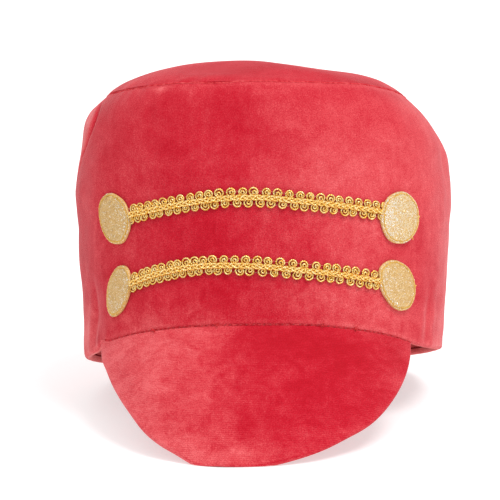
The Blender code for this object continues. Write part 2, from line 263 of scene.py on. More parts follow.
def peak_length(angle):
    """Length of the peak's cloth below the seam: it falls from its tip to each corner as (1 - share^n)^m."""
    beside = np.clip(angle, -PEAK_HALF_ANGLE, PEAK_HALF_ANGLE) - PEAK_TIP_ANGLE
    left_share = np.maximum(-beside, 0) / (PEAK_HALF_ANGLE + PEAK_TIP_ANGLE)
    right_share = np.maximum(beside, 0) / (PEAK_HALF_ANGLE - PEAK_TIP_ANGLE)
    left = (1 - left_share**PEAK_LEFT_OUTLINE[0])**PEAK_LEFT_OUTLINE[1]
    right = (1 - right_share**PEAK_RIGHT_OUTLINE[0])**PEAK_RIGHT_OUTLINE[1]
    return PEAK_CORNER + (PEAK_LENGTH - PEAK_CORNER) * left * right


def peak_face(angle, down):
    """Outer face of the peak, a given length of cloth down from the seam: its slope grows evenly with it."""
    angle, down = paired(angle, down)
    start, end = math.radians(PEAK_START_SLOPE), math.radians(PEAK_END_SLOPE)
    bend = (end - start) / PEAK_LENGTH
    slope = start + bend * down
    points = wall(angle, rim_height(angle))
    points[..., 1] -= (np.sin(slope) - math.sin(start)) / bend
    points[..., 2] -= SEAM_GAP + (math.cos(start) - np.cos(slope)) / bend
    return points


def outward(face, angle, rise, step=1e-3):
    """Unit normals of a face, from the cross product of its steps along angle and rise."""
    along = face(angle + step, rise) - face(angle - step, rise)
    up = face(angle, rise + step) - face(angle, rise - step)
    return unit(np.cross(along, up))


def unit(vectors):
    """Vectors of length one."""
    return vectors / np.maximum(np.linalg.norm(vectors, axis=-1, keepdims=True), 1e-9)


def off_wall(angle, height, lift):
    """Points at a lift off the band's plain face, and its normals there."""
    normal = outward(wall, angle, height)
    return wall(angle, height) + np.asarray(lift)[..., None] * normal, normal


def at_rest(points, on_floor=True):
    """Points of the hat's frame, leaned back onto the floor, in metres. What would sink is pressed flat."""
    lean = math.radians(LEAN_BACK)
    x, y, z = np.moveaxis(np.asarray(points, float), -1, 0)
    back = y * math.cos(lean) + z * math.sin(lean) + RIM_PLACE[1]
    up = z * math.cos(lean) - y * math.sin(lean) + RIM_PLACE[2]
    if on_floor:
        up = np.maximum(up, 0.0)
    return np.stack([x + RIM_PLACE[0], back, up], -1) * MM


def rumple(points, size, seed):
    """Soft random relief, mostly -1 to 1: a sum of sine waves of about one length, in random directions."""
    waves = 20
    draw = np.random.default_rng(seed)
    way = unit(draw.normal(size=(waves, 3)))
    length = size * draw.uniform(0.7, 1.5, waves)
    phase = draw.uniform(0, 2 * math.pi, waves)
    total = np.sin(points @ (way * (2 * math.pi / length)[:, None]).T + phase).sum(-1)
    return total / math.sqrt(waves / 2) / 1.6


def ease(value, low, high):
    """0 below low, 1 above high, and a smooth step between."""
    t = np.clip((value - low) / (high - low), 0, 1)
    return t * t * (3 - 2 * t)


def grid_quads(rows, columns, close_rows, close_columns):
    """Quads between the points of a grid, numbered row by row."""
    row = np.arange(rows if close_rows else rows - 1)[:, None]
    column = np.arange(columns if close_columns else columns - 1)[None]
    above, beside = (row + 1) % rows, (column + 1) % columns
    corners = (row * columns + column, row * columns + beside,
               above * columns + beside, above * columns + column)
    return np.stack(np.broadcast_arrays(*corners), -1).reshape(-1, 4)


def cap_fan(row_start, columns, middle, turn_over):
    """Triangles from a closed row of points to one middle point."""
    column = np.arange(columns)
    here, beside = row_start + column, row_start + (column + 1) % columns
    if turn_over:
        here, beside = beside, here
    return np.stack([np.full(columns, middle), here, beside], -1)


def closed_rings(points, first_middle, last_middle):
    """Rings of points closed by a fan to a middle point at each end: all the points, and the faces."""
    rows, columns = points.shape[:2]
    count = rows * columns
    faces = grid_quads(rows, columns, False, True).tolist()
    faces += cap_fan(0, columns, count, True).tolist()
    faces += cap_fan(count - columns, columns, count + 1, False).tolist()
    return np.concatenate([points.reshape(-1, 3), first_middle[None], last_middle[None]]), faces


def velvet_values(nap_and_sheen, crush, cloth):
    """Velvet's attributes: nap and painted sheen, how strongly it is crushed, places on it in millimetres."""
    crush = crush + np.zeros(nap_and_sheen.shape)
    return {"nap_and_sheen": nap_and_sheen.ravel(), "crush": crush.ravel(), "cloth_mm": cloth.reshape(-1, 3)}


def make_piece(name, points, faces, materials, face_material=None, values=None, sharp=50.0):
    """Object of one piece, its place in its mesh, riding on the hat. values are attributes, a row a point."""
    mesh = bpy.data.meshes.new(name)
    mesh.from_pydata(points.reshape(-1, 3), [], faces)
    for material in materials:
        mesh.materials.append(material)
    if face_material is not None:
        mesh.polygons.foreach_set("material_index", face_material.astype(np.int32))
    for key, value in (values or {}).items():
        kind, field = ("FLOAT", "value") if value.ndim == 1 else ("FLOAT_VECTOR", "vector")
        mesh.attributes.new(key, kind, "POINT").data.foreach_set(field, value.astype(np.float32).ravel())
    mesh.shade_smooth()
    if sharp:
        mesh.set_sharp_from_angle(angle=math.radians(sharp))
    mesh.validate()
    mesh.update()
    piece = bpy.data.objects.new(name, mesh)
    bpy.context.scene.collection.objects.link(piece)
    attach(piece, "root")
    return piece


def shader_node(tree, kind, inputs=None, **settings):
    """One node of a material, with its settings, and its inputs given as values or as sockets to link."""
    made = tree.nodes.new("ShaderNode" + kind)
    for key, value in settings.items():
        setattr(made, key, value)
    for key, value in (inputs or {}).items():
        if isinstance(value, bpy.types.NodeSocket):
            tree.links.new(value, made.inputs[key])
        else:
            made.inputs[key].default_value = value
    return made


def new_material(name, **fixed):
    """Material and its shader, with the values that are the same all over set on the shader's own sockets."""
    material = bpy.data.materials.new(name)
    material.use_nodes = True
    shader = material.node_tree.nodes["Principled BSDF"]
    for key, value in fixed.items():
        shader.inputs[key.replace("_", " ")].default_value = value
    return material, material.node_tree, shader


def noise(tree, place, scale, detail=2.0, roughness=0.5, distortion=0.0):
    """Grey noise at a place, about 0.5 on the whole."""
    inputs = {"Vector": place, "Scale": scale, "Detail": detail, "Roughness": roughness,
              "Distortion": distortion}
    return shader_node(tree, "TexNoise", inputs).outputs["Fac"]


def bands(tree, place, direction, scale, distortion=0.0, detail=2.0):
    """Soft grey bands across one direction of a place."""
    inputs = {"Vector": place, "Scale": scale, "Distortion": distortion, "Detail": detail}
    return shader_node(tree, "TexWave", inputs, wave_type="BANDS", bands_direction=direction).outputs["Fac"]


def calc(tree, operation, first, second=0.0, third=0.0):
    """Sum, product or other operation on two or three numbers."""
    return shader_node(tree, "Math", {0: first, 1: second, 2: third}, operation=operation).outputs[0]


def ramp(tree, value, stops):
    """Colours along a value, from a short table of places and colours."""
    node = shader_node(tree, "ValToRGB", {"Fac": value})
    bar = node.color_ramp.elements
    while len(bar) < len(stops):
        bar.new(0.5)
    for element, (place, colour) in zip(bar, stops):
        element.position = place
        element.color = (*colour, 1.0)
    return node.outputs["Color"]


def attribute(tree, name, output="Fac"):
    """Value that the piece's mesh holds for each of its points."""
    return shader_node(tree, "Attribute", attribute_name=name).outputs[output]


def object_place(tree):
    """Place on a piece, in metres of its own mesh."""
    return shader_node(tree, "TexCoord").outputs["Object"]


def swayed(tree, grey, weight, value=0.0):
    """A value plus weight * (grey - 0.5)."""
    return calc(tree, "MULTIPLY_ADD", calc(tree, "SUBTRACT", grey, 0.5), weight, value)


def paint(tree, shader, value, stops):
    """Gives a shader its base colour: a ramp along a value."""
    tree.links.new(ramp(tree, value, stops), shader.inputs["Base Color"])


def emboss(tree, shader, height, strength, distance):
    """Gives a shader fine relief from a grey height. The distance is in metres."""
    bump = shader_node(tree, "Bump", {"Height": height, "Strength": strength, "Distance": distance})
    tree.links.new(bump.outputs["Normal"], shader.inputs["Normal"])


def velvet(name, shades, ribs=0.0, brushing=(0.36, 0.06, 0.36)):
    """Crushed velvet: painted pale where the pile lies towards the light and deep where it lies away.

    One attribute holds the large patches, partly the pile's own mottling and partly painted sheen, highlight
    and shade. Noise adds blotches, brushed strokes and single tufts, in the cloth's own millimetres, and the
    same tufts and strokes raise the surface. The crush attribute says how strongly it is crushed.
    """
    material, tree, shader = new_material(
        name, Roughness=0.92, Specular_IOR_Level=0.12, Sheen_Weight=0.34, Sheen_Roughness=0.36,
        Sheen_Tint=(1.0, 0.66, 0.66, 1.0))
    cloth = attribute(tree, "cloth_mm", "Vector")
    brushed = shader_node(tree, "Mapping", {"Vector": cloth, "Rotation": (0.0, 0.0, 0.21), "Scale": brushing})
    blotch = noise(tree, cloth, 0.035, 2.0, 0.5, 0.5)
    patch = noise(tree, cloth, 0.100, 2.0, 0.55, 1.0)
    mottle = noise(tree, cloth, 0.31, 2.0, 0.6, 0.9)
    stroke = noise(tree, brushed.outputs["Vector"], 1.0, 3.0, 0.65, 0.7)
    tuft = noise(tree, cloth, 1.6, 2.0, 0.75, 0.4)
    speck = noise(tree, cloth, 2.2, 1.0, 0.5, 0.0)
    crushed = 0.0
    for grey, weight in ((patch, 0.86), (mottle, 0.50), (stroke, 0.42)):
        crushed = swayed(tree, grey, weight, crushed)
    pale = calc(tree, "MULTIPLY_ADD", crushed, attribute(tree, "crush"), attribute(tree, "nap_and_sheen"))
    for grey, weight in ((blotch, 0.40), (tuft, 1.5)):
        pale = swayed(tree, grey, weight, pale)
    lift = calc(tree, "MULTIPLY_ADD", stroke, 0.4, tuft)
    if ribs:
        course = bands(tree, cloth, "Y", 0.32, 1.2, 1.0)
        broken = calc(tree, "MULTIPLY", calc(tree, "SUBTRACT", course, 0.5), calc(tree, "POWER", blotch, 2.0))
        pale = calc(tree, "MULTIPLY_ADD", broken, ribs, pale)
        lift = calc(tree, "MULTIPLY_ADD", course, 0.25, lift)
    glow = swayed(tree, speck, 0.45, 1.0)
    shade = calc(tree, "MULTIPLY_ADD", pale, 0.75, 0.25)
    colour = shader_node(tree, "HueSaturation", {"Color": ramp(tree, shade, shades), "Value": glow})
    tree.links.new(colour.outputs["Color"], shader.inputs["Base Color"])
    emboss(tree, shader, lift, 0.55, 0.0004)
    return material


def thread_gold(name, shades, roughness, metallic):
    """Metallic yarn: fine slanting wraps, with painted glints, and a painted highlight on top of a strand."""
    material, tree, shader = new_material(name, Metallic=metallic)
    strand = attribute(tree, "strand_mm", "Vector")
    steep = shader_node(tree, "Mapping", {"Vector": strand, "Scale": (1.0, 0.6, 0.0)}).outputs["Vector"]
    wrap = bands(tree, steep, "DIAGONAL", 0.8, 0.8)
    # Painted glints, from a fine noise that also sets the roughness
    painted_glint_noise = noise(tree, object_place(tree), 1100.0, 2.0, 0.7)
    # Painted highlight on each strand's side away from the cloth, and painted shade on its side towards it
    painted_top_highlight = shader_node(tree, "SeparateXYZ", {"Vector": strand}).outputs["Z"]
    mix = calc(tree, "MULTIPLY_ADD", wrap, 0.22, calc(tree, "MULTIPLY", painted_glint_noise, 0.85))
    mix = calc(tree, "MULTIPLY_ADD", painted_top_highlight, 0.32, mix)
    paint(tree, shader, mix, shades)
    tree.links.new(calc(tree, "MULTIPLY_ADD", painted_glint_noise, 0.4, roughness - 0.2), shader.inputs["Roughness"])
    emboss(tree, shader, wrap, 0.6, 0.0001)
    return material


def plain_thread(name, colour, roughness=0.6):
    """Twisted sewing thread: slanting plies in the bump, slightly uneven colour."""
    material, tree, shader = new_material(name, Roughness=roughness, Sheen_Weight=0.05)
    ply = bands(tree, attribute(tree, "strand_mm", "Vector"), "DIAGONAL", 0.8)
    paint(tree, shader, ply, [(0.0, tuple(0.6 * part for part in colour)), (0.7, colour)])
    emboss(tree, shader, ply, 0.5, 0.00006)
    return material


def glitter_cloth():
    """Pale gold ground of the glitter cloth, grained like fine sand."""
    material, tree, shader = new_material("glitter_ground", Metallic=0.15, Roughness=0.5)
    place = object_place(tree)
    grain = noise(tree, place, 2600.0, 2.0, 0.7)
    cloud = noise(tree, place, 300.0, 2.0, 0.6)
    grey = calc(tree, "MULTIPLY_ADD", cloud, 0.35, calc(tree, "MULTIPLY", grain, 0.65))
    paint(tree, shader, grey, [
        (0.30, (0.53, 0.28, 0.07)), (0.52, (0.77, 0.48, 0.165)), (0.72, (0.94, 0.72, 0.36))])
    emboss(tree, shader, grain, 0.8, 0.00012)
    return material


def glitter_flake():
    """Tiny foil flakes, old gold to near white by their shade: own tone, painted light and painted sparkles.
    """
    material, tree, shader = new_material("glitter_flake", Metallic=0.35, Roughness=0.28)
    paint(tree, shader, attribute(tree, "shade"), [
        (0.0, (0.56, 0.30, 0.08)), (0.40, (0.78, 0.50, 0.185)), (0.75, (0.92, 0.79, 0.49)),
        (1.0, (1.0, 1.0, 0.97))])
    return material


# Colours from deep to pale: the pile outside, the gold yarn from painted shade to painted glint, and the
# pile inside
RED_SHADES = [
    (0.0, (0.46, 0.004, 0.015)), (0.25, (0.515, 0.008, 0.023)), (0.50, (0.58, 0.028, 0.044)),
    (0.75, (0.67, 0.066, 0.079)), (1.0, (0.77, 0.128, 0.138))]
GOLD_SHADES = [
    (0.55, (0.62, 0.20, 0.003)), (0.70, (0.83, 0.41, 0.028)), (0.82, (0.94, 0.62, 0.115)),
    (0.97, (0.97, 0.93, 0.58))]
# The pile inside is painted paler than the outside, as painted light for the shaded inside of the hat
INSIDE_SHADES = [(0.25, (0.54, 0.045, 0.05)), (0.62, (0.74, 0.12, 0.12)), (1.0, (0.86, 0.24, 0.23))]

# The band's mesh, with its rows round the rim, up the face, over the roll, down the inside and down the hem;
# its turned-up hem, the roll of its top edge, and a cylinder near it
BAND_COLUMNS = 480
RIM_ROWS, FACE_ROWS, ROLL_ROWS, INNER_ROWS, HEM_ROWS = 13, 112, 6, 34, 12
TURN_UP = 0.9
HEM_HEIGHT = 20.0
SEAM_ROLL = 0.42
NEAR_RADIUS = 92.0
MM_PER_DEGREE = math.radians(NEAR_RADIUS)


def round_hat(angle, height):
    """Places on a plain cylinder near the band, for relief that closes round the back."""
    turn = np.radians(angle)
    return np.stack(np.broadcast_arrays(NEAR_RADIUS * np.sin(turn), -NEAR_RADIUS * np.cos(turn), height), -1)


def side_crease(angle, height):
    """The crease down the left shoulder, from millimetres behind its line: each form runs from 0 to 1.

    The forms are the valley, the lip beside it, the broad swell behind, and a painted highlight on the swell.
    """
    behind = (smooth_rows(SIDE_CREASE, height)[..., 0] - angle) * MM_PER_DEGREE
    tall = ease(height, 74.0, 99.0) * (1 - ease(height, 117.0, 125.0))
    valley = bell(behind, 1.4)
    lip = bell(behind, 1.6, 2.4)
    swell = ease(behind, 1.0, 6.0) * (1 - ease(behind, 16.0, 34.0))
    pale = ease(behind, 0.0, 5.0) * (1 - ease(behind, 12.0, 58.0))
    return [tall * form for form in (valley, lip, swell, pale)]


def band_relief(angle, height):
    """Low forms of the band's cloth, in millimetres outwards.

    They are soft waves, gathers that fade as a bell off its two edges, the dents, the crease on the left, and
    the back seam, a narrow valley between two low ridges.
    """
    place = round_hat(angle, height)
    relief = 0.5 * rumple(place, 42.0, 4) + 0.16 * rumple(place, 15.0, 9)
    gather = rumple(place * np.array([1.0, 1.0, 0.12]), 8.0, 21)
    for distance, reach in ((ring_height(angle) - height, 5.0), (height - rim_height(angle), 6.0)):
        relief += 0.16 * gather * bell(distance, reach)
    relief += hills(BAND_DENTS, angle, height)
    valley, lip, swell, _ = side_crease(angle, height)
    relief = relief + 0.4 * lip + 0.8 * swell - 1.1 * valley
    at_back = np.abs(turned(angle, 180.0)) * MM_PER_DEGREE
    return relief - 0.9 * bell(at_back, 0.8) + 0.25 * bell(at_back, 3.0, 3.0)


def band_profile(angle):
    """Rows of heights and a depth: the band's section from the turned-up rim up its face and down its inside.

    The rim is a half oval, flatter along the peak's seam, the outer face is straight up, the edge at the ring
    seam rolls in by a quarter circle, and the inner face steps out where the turned-up hem lies on it.
    """
    rim, ring = rim_height(angle), ring_height(angle)
    fold = 0.45 + 1.45 * ease(np.abs(turned(angle, 0.0)), PEAK_HALF_ANGLE - 1.5, PEAK_HALF_ANGLE + 4.0)
    deep = WALL + TURN_UP
    section = []
    for turn in np.radians(np.linspace(180, 0, RIM_ROWS)):
        section.append((rim + fold * (1 - math.sin(turn)), deep / 2 * (1 - math.cos(turn))))
    for share in np.linspace(0, 1, FACE_ROWS)[1:]:
        section.append((rim + fold + share * (ring - SEAM_ROLL - rim - fold), 0.0))
    for turn in np.radians(np.linspace(0, 90, ROLL_ROWS)[1:]):
        section.append((ring - SEAM_ROLL * (1 - math.sin(turn)), SEAM_ROLL * (1 - math.cos(turn))))
    section += [(ring, WALL - 0.4), (ring - 0.4, WALL)]
    for share in np.linspace(1, 0, INNER_ROWS)[1:]:
        section.append((rim + HEM_HEIGHT + share * (ring - rim - HEM_HEIGHT), WALL))
    for up, out in ((-0.25, 0.35), (-0.6, 0.8), (-1.1, 1.0)):
        section.append((rim + HEM_HEIGHT + up, WALL + TURN_UP * out))
    for share in np.linspace(1, 0, HEM_ROWS)[1:-1]:
        section.append((rim + fold + share * (HEM_HEIGHT - 1.1 - fold), deep))
    return section


def crown_cloth(outside, inside):
    """Velvet of the band: its section carried round the hat, with relief that fades into the inner face."""
    angle = np.linspace(-180.0, 180.0, BAND_COLUMNS, endpoint=False)
    section = band_profile(angle)
    height = np.stack([row[0] for row in section])
    depth = np.repeat([[row[1]] for row in section], BAND_COLUMNS, 1)
    angles = np.broadcast_to(angle, height.shape)
    share = 1 - 0.6 * ease(depth, 0.5, WALL)
    points, _ = off_wall(angles, height, share * band_relief(angles, height) - depth)
    faces = grid_quads(len(section), BAND_COLUMNS, True, True)
    inner_row = np.repeat(depth.min(axis=1) > 1.6, BAND_COLUMNS)
    # Paleness of the pile: partly its own nap and partly painted sheen, highlight and shade
    nap_and_sheen = smooth_rows(BAND_NAP_AND_SHEEN, angles)[..., 0] + hills(BAND_MARKS, angles, height)
    unseen = ease(np.abs(angles), 60.0, 85.0)
    nap_and_sheen += 0.10 * rumple(round_hat(angles, height), 46.0, 33) * (0.35 + 0.65 * unseen)
    on_face = depth < 1.5
    valley, lip, swell, pale = side_crease(angles, height)
    # Painted highlight on the lip and swell of the left shoulder's crease, and painted shade in its valley
    nap_and_sheen += on_face * (0.34 * lip + 0.34 * swell + 0.26 * pale - 0.24 * valley)
    # Painted highlights on the roll just under the ring seam and along the rim's fold
    nap_and_sheen += 0.10 * on_face * bell(ring_height(angles) - height, 1.0, 1.2)
    nap_and_sheen += 0.22 * on_face * bell(height - rim_height(angles), 1.4, 1.0)
    around = np.radians(angles) * NEAR_RADIUS
    crush = 1.0 - 0.28 * ease(height, 50.0, 95.0) - 0.12 * ease(angles, 0.0, 30.0)
    piece = make_piece("crown_cloth", at_rest(points), faces, [outside, inside], inner_row,
                       velvet_values(nap_and_sheen, crush, np.stack([around, height, depth], -1)))
    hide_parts("crown_band")
    return piece


# Rows and columns of the top's mesh, the rise over which the lip's gathers fade, and how crushed its pile is
TOP_COLUMNS = 360
TOP_INNER_ROWS = 26
TOP_LIP_ROWS = 7
TOP_OUTER_ROWS = 70
LIP_FADE = 0.07
TOP_CRUSH = 0.7


def top_cloth(outside, inside):
    """Velvet of the puffed top: rows from the middle of its inside, out round its rolled lip, to its middle.

    The lip is a quarter circle that follows the band's edge. Inwards of it the face is the dome, with soft
    dents and short gathers that run in from the seam.
    """
    angle = np.linspace(-180.0, 180.0, TOP_COLUMNS, endpoint=False)
    inner = 1 - np.linspace(0.03, 1, TOP_INNER_ROWS)**0.75
    outer = 1 - np.linspace(1, 0.02, TOP_OUTER_ROWS + 1)[1:]**0.75
    rises = np.concatenate([inner, np.zeros(TOP_LIP_ROWS), outer])
    rise = np.repeat(rises[:, None], TOP_COLUMNS, 1)
    angles = np.broadcast_to(angle, rise.shape)
    base = top_face(angles, rise)
    normal = outward(top_face, angles, np.maximum(rise, 0.004))
    gather = rumple(round_hat(angles, 0 * angles), 9.0, 51)
    dents = -0.8 * bell(base[..., 0], 16.0, -42.0) * ease(rise, 0.1, 0.4)
    dents += 0.7 * rumple(base, 38.0, 6) * ease(rise, 0.0, 0.15)
    dents += 0.22 * gather * bell(rise, LIP_FADE)
    inside_row = (np.arange(len(rises)) < TOP_INNER_ROWS)[:, None]
    lift = np.where(inside_row, 0.4 * dents - WALL, dents)
    points = base + lift[..., None] * normal
    side = unit(np.array([TOP_SHIFT, 0.0, 0.0]) - base * np.array([1.0, 1.0, 0.0]))
    edge = -band_relief(angles, ring_height(angles)) * (1 - ease(rise, 0.0, LIP_FADE))
    points += edge[..., None] * side
    last_inner, first_outer = TOP_INNER_ROWS - 1, TOP_INNER_ROWS + TOP_LIP_ROWS
    points[last_inner] = (base + (edge + WALL - 0.05)[..., None] * side)[last_inner]
    for step, turn in enumerate(np.radians(np.linspace(0, 90, TOP_LIP_ROWS)), TOP_INNER_ROWS):
        points[step] = (base + (edge + SEAM_ROLL * (1 - math.sin(turn)))[..., None] * side)[step]
        points[step, :, 2] += SEAM_ROLL * (1 - math.cos(turn))
    points[first_outer:, :, 2] = np.maximum(points[first_outer:, :, 2], points[first_outer - 1, :, 2] + 0.05)
    middle = top_face(0.0, 1.0)
    points, faces = closed_rings(points, middle - np.array([0.0, 0.0, WALL]), middle)
    inner_face = np.zeros(len(faces))
    inner_face[:last_inner * TOP_COLUMNS] = 1
    inner_face[-2 * TOP_COLUMNS:-TOP_COLUMNS] = 1
    # Paleness of the top: its own mottling, deeper to the right, and painted sheen, paler back from the front
    # edge and along a strip right of the middle
    nap_and_sheen = 0.06 + 0.16 * rumple(points, 40.0, 71) - 0.10 * np.tanh(points[:, 0] / 60.0)
    nap_and_sheen = nap_and_sheen + 0.44 * ease(points[:, 1], -72.0, -15.0) + 0.18 * bell(points[:, 0], 22.0, 28.0)
    piece = make_piece("top_cloth", at_rest(points), faces, [outside, inside], inner_face,
                       velvet_values(nap_and_sheen, TOP_CRUSH, points * np.array([1.0, 1.0, 0.3])))
    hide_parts("crown_top")
    return piece


# The peak's mesh, whose columns reach almost to its corners, how crushed its pile is, and its rounding at the
# seam; its left corner, which rises from one angle, sinks again from another, and stands proud and high; and
# how much longer than plain its cloth is
PEAK_COLUMNS = 340
PEAK_REACH = 0.9995
PEAK_ROWS = 110
PEAK_UNDER_ROWS = 60
PEAK_CRUSH = 1.1
PEAK_SEAM_ROUND = 0.45
CORNER_START = 46.0
CORNER_TURN = 51.0
CORNER_PROUD = 1.5
CORNER_RISE = 2.1
PEAK_SWELL = [
    (-54, 0.6), (-47, 0.2), (-42, -0.6), (-36, -0.7), (-31, 0.4), (-26, 0.2), (-20, -0.3), (-14, 1),
    (-6, 1.6), (2, 1.2), (12, 0.8), (22, 0.4), (29, -0.2), (38, 0.6), (46, 0.2), (54, 0.6)]


def cloth_length(angle):
    """Length of the peak's cloth with its swells."""
    return peak_length(angle) + smooth_rows(PEAK_SWELL, angle)[..., 0]


def quarter_round(distance, radius):
    """Drop of a rounded edge: r - sqrt(r^2 - (r - d)^2) at a distance d inside it, and none beyond r."""
    return radius - np.sqrt(np.maximum(radius**2 - np.maximum(radius - distance, 0)**2, 0))


def peak_corner(angle):
    """Rise of the peak's left corner: it eases in along the seam, and sinks again at the very end."""
    sinking = 0.7 * ease(-angle, CORNER_TURN, PEAK_HALF_ANGLE)
    return ease(-angle, CORNER_START, PEAK_HALF_ANGLE) * (1 - sinking)


def peak_side(angle, rows, line, upwards=False):
    """One side of the peak in rows that lie closer at both ends.

    Gives how far down a point is, its angle, the plain face and its normals, the distance to the free edge's
    line, and the padding's thickness, which falls with the square of the share of the length.
    """
    t = np.linspace(0, 1, rows)
    shares = 0.4 * t + 0.3 * (1 - np.cos(math.pi * t))
    down = (shares[::-1] if upwards else shares)[:, None] * cloth_length(angle)
    angles = np.broadcast_to(angle, down.shape)
    face = peak_face(angles, down)
    gap = np.stack([np.sqrt(((row[:, None] - line[None])**2).sum(-1).min(axis=1)) for row in face])
    thick = PEAK_THICKNESS + (PEAK_EDGE_THICKNESS - PEAK_THICKNESS) * np.clip(down / PEAK_LENGTH, 0, 1)**2
    return down, angles, face, -outward(peak_face, angles, down), gap, thick


def peak_cloth(outside):
    """Padded peak: its face and its underside meet in a round edge, half as deep as the peak is thick.

    Their columns go by the sine of an even turn, so they lie closer at the corners.
    """
    turn = np.linspace(-90.0, 90.0, PEAK_COLUMNS)
    angle = PEAK_HALF_ANGLE * np.sin(np.radians(turn)) * PEAK_REACH
    length = cloth_length(angle)
    outline = np.concatenate([peak_face(angle[:1], np.linspace(0, 1, 12) * length[0]),
                              peak_face(angle, length),
                              peak_face(angle[-1:], np.linspace(1, 0, 12) * length[-1])])
    line = np.concatenate([outline[:-1] + (outline[1:] - outline[:-1]) * t for t in (0.0, 0.25, 0.5, 0.75)])

    down, angles, face, normal, gap, thick = peak_side(angle, PEAK_ROWS, line)
    relief = 0.45 * rumple(face, 40.0, 14) * ease(gap, 0.0, 12.0)
    relief += 0.12 * rumple(face, 14.0, 15) * ease(gap, 0.0, 6.0)
    sink = np.maximum(quarter_round(gap, thick / 2), quarter_round(down, PEAK_SEAM_ROUND))
    outer = face + (relief * ease(down, 0.0, 8.0) - sink)[..., None] * normal
    at_seam = bell(down, 3.0)
    proud = CORNER_PROUD * ease(-angles, CORNER_START, PEAK_HALF_ANGLE) * at_seam
    outer += proud[..., None] * normal
    outer[..., 2] += CORNER_RISE * peak_corner(angles) * at_seam

    down_u, _, face_u, normal_u, gap_u, thick_u = peak_side(angle, PEAK_UNDER_ROWS, line, True)
    under = face_u - (thick_u - quarter_round(gap_u, thick_u / 2))[..., None] * normal_u
    behind = wall(angle, rim_height(angle)) - WALL * outward(wall, angle, rim_height(angle))
    behind[:, 2] -= SEAM_GAP
    under = under[1:]
    under[-1] = behind + (under[-1] - behind) * 0.15
    points = np.concatenate([outer, under, (behind[None] + outer[:1]) / 2])
    rows = len(points)
    far = np.concatenate([down, down_u[1:], down[:1]])
    points[..., 0] -= 0.8 * ease(-angle, 36.0, 50.0) * bell(far, 6.0, 10.0)
    points[..., 0] += 0.8 * ease(-angle, 52.0, PEAK_HALF_ANGLE) * bell(far, 1.2)
    # Painted highlight along the peak's free edge, and painted shade where its bottom edge curls under
    nap_and_sheen = smooth_rows(PEAK_NAP_AND_SHEEN, angles)[..., 0] + hills(PEAK_MARKS, angles, down) + 0.22 * np.exp(-gap / 1.2)
    nap_and_sheen = nap_and_sheen - 0.35 * ease(down, 68.0, 73.0) * bell(gap, 0.45, 1.2)
    nap_and_sheen = np.concatenate([nap_and_sheen, 0.30 + 0.1 * rumple(under, 40.0, 18), nap_and_sheen[:1]]).ravel()
    down_all = np.concatenate([down, -down_u[1:], down[:1]]).ravel()
    flat = points.reshape(-1, 3)
    cloth = np.stack([flat[:, 0], down_all, 0 * down_all], -1)
    count = len(flat)
    flat = np.concatenate([flat, points[:, 0].mean(axis=0)[None], points[:, -1].mean(axis=0)[None]])
    faces = grid_quads(rows, PEAK_COLUMNS, True, False)[:, ::-1].tolist()
    here = np.arange(rows) * PEAK_COLUMNS
    there = np.roll(here, -1)
    faces += np.stack([here, there, np.full(rows, count)], -1).tolist()
    here, there = here + PEAK_COLUMNS - 1, there + PEAK_COLUMNS - 1
    faces += np.stack([there, here, np.full(rows, count + 1)], -1).tolist()
    ends = [0, PEAK_COLUMNS - 1]
    values = velvet_values(np.concatenate([nap_and_sheen, nap_and_sheen[ends]]), PEAK_CRUSH, np.concatenate([cloth, cloth[ends]]))
    piece = make_piece("peak_cloth", at_rest(flat), faces, [outside], None, values)
    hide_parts("peak")


def strand_frame(paths, normals):
    """Across and up at each point of many paths, square to them, and the length gone along each path."""
    ahead = unit(np.gradient(paths, axis=1))
    side = unit(np.cross(ahead, normals))
    gone = np.cumsum(np.linalg.norm(np.diff(paths, axis=1, prepend=paths[:, :1]), axis=-1), axis=1)
    return side, np.cross(side, ahead), gone


def tubes(paths, normals, radius, sides):
    """Round strands along many paths at once: rings of points at a radius from each path, in its own frame.

    A point is path + radius * (cos(turn) * up + sin(turn) * side), where up and side are square to the path.
    """
    side, up, gone = strand_frame(paths, normals)
    turn = full_turn(sides)
    radius = np.broadcast_to(np.asarray(radius, float), paths.shape[:2])[..., None, None]
    ring = np.cos(turn)[:, None] * up[:, :, None] + np.sin(turn)[:, None] * side[:, :, None]
    points = paths[:, :, None] + radius * ring
    strands, steps = paths.shape[:2]
    offset = (np.arange(strands) * steps * sides)[:, None, None]
    quads = (grid_quads(steps, sides, False, True)[None] + offset).reshape(-1, 4)[:, ::-1]
    first = np.arange(sides)[None] + offset[:, 0]
    last = first[:, ::-1] + (steps - 1) * sides
    strand = np.zeros(points.shape)
    strand[..., 0] = gone[..., None]
    strand[..., 1] = turn * radius[..., 0]
    # The third value, 1 on a strand's side away from the cloth and -1 on its side towards it, sets the gold's
    # painted highlight and shade
    strand[..., 2] = np.cos(turn)
    return points.reshape(-1, 3), [*quads.tolist(), *first.tolist(), *last.tolist()], strand.reshape(-1, 3)


def plied(paths, normals, radius, pitch, plies=2, sides=5):
    """Twisted cord: plies that wind round each path, one turn a pitch, and touch each other along it."""
    side, up, gone = strand_frame(paths, normals)
    strands = []
    for ply in range(plies):
        turn = (2 * math.pi * (gone / pitch + ply / plies))[..., None]
        strands.append(paths + 0.46 * radius * (np.cos(turn) * up + np.sin(turn) * side))
    return tubes(np.concatenate(strands), np.concatenate([normals] * plies), 0.56 * radius, sides)


def thread_piece(name, solids, material):
    """One piece from several solids of strands, joined."""
    points, faces, strand, start = [], [], [], 0
    for some_points, some_faces, some_strand in solids:
        faces += [[index + start for index in face] for face in some_faces]
        points.append(some_points)
        strand.append(some_strand)
        start += len(some_points)
    points, strand = np.concatenate(points), np.concatenate(strand)
    piece = make_piece(name, at_rest(points), faces, [material], None, {"strand_mm": strand}, None)
    return piece


